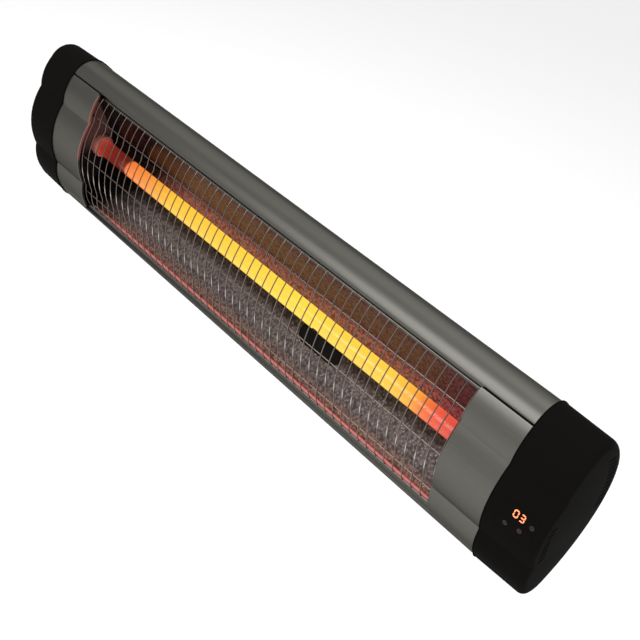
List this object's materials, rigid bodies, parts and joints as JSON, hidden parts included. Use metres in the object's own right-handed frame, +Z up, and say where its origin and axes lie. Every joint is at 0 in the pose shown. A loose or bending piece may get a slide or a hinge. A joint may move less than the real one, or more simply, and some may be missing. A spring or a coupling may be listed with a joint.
{
  "type": "electric bar heater",
  "caption": "Wall-hung infrared bar heater: long extruded housing with a three-lobed wire grille, quartz tube, reflector, moulded end caps and tilting wall brackets.",
  "frame": {"origin": "on the wall, midway between the two brackets, at the middle height of the level heater", "axes": "+X along the heater towards the cap with the readout, +Y into the wall, +Z up"},
  "size_m": [0.8326, 0.1819, 0.1892],
  "materials": {
    "anodised_aluminium": "satin anodised",
    "steel_wire": "satin",
    "hammered_aluminium": "hammered",
    "black_steel": "semi-matte powder coat",
    "black_plastic": "fine grained",
    "smoked_plastic": "glossy smoked",
    "quartz": "clear",
    "filament": "glowing",
    "ceramic": "unglazed ceramic",
    "spring_steel": "plain",
    "zinc_steel": "zinc plated",
    "circuit_board": "solder mask",
    "readout": "moulded",
    "relay_case": "moulded",
    "white_plastic": "moulded",
    "silicone_lead": "matte"
  },
  "bodies": {
    "wall_brackets": {"wall_bracket_left": "black_steel", "pivot_bolt_left": "zinc_steel", "pivot_nut_left": "zinc_steel", "lock_bolt_left": "zinc_steel", "lock_knob_left": "black_plastic", "wall_bracket_right": "black_steel", "pivot_bolt_right": "zinc_steel", "pivot_nut_right": "zinc_steel", "lock_bolt_right": "zinc_steel", "lock_knob_right": "black_plastic"},
    "heater": {"housing_shell": "anodised_aluminium", "front_panel_left": "anodised_aluminium", "front_panel_right": "anodised_aluminium", "heat_sink": "anodised_aluminium", "wire_grille": "steel_wire", "reflector": "hammered_aluminium", "steady_plate": "black_steel", "chamber_end_plate_left": "black_steel", "chamber_end_plate_right": "black_steel", "tilt_arm_left": "black_steel", "tilt_arm_right": "black_steel", "end_cap_left": "black_plastic", "end_cap_right": "black_plastic", "cable_gland": "black_plastic", "gland_nut": "black_plastic", "gland_locknut": "black_plastic", "thermal_cutout": "black_plastic", "display_window": "smoked_plastic", "quartz_tube": "quartz", "heating_element": "filament", "ceramic_end_left": "ceramic", "ceramic_end_right": "ceramic", "tube_clip_left": "spring_steel", "tube_clip_right": "spring_steel", "tube_steady": "spring_steel", "slide_nut_left": "zinc_steel", "slide_nut_right": "zinc_steel", "arm_bolt_left_1": "zinc_steel", "arm_bolt_left_2": "zinc_steel", "arm_bolt_right_1": "zinc_steel", "arm_bolt_right_2": "zinc_steel", "display_board": "circuit_board", "control_board": "circuit_board", "display_module": "readout", "relay": "relay_case", "terminal_block": "white_plastic", "lead_left": "silicone_lead", "lead_right": "silicone_lead", "cutout_lead": "silicone_lead"}
  },
  "joints": [
    {"name": "tilt", "type": "hinge", "parent": "wall_brackets", "child": "heater", "pos_m": [0, -0.04, -0.03], "axis": [1, 0, 0], "range_deg": [-15, 45]}
  ]
}
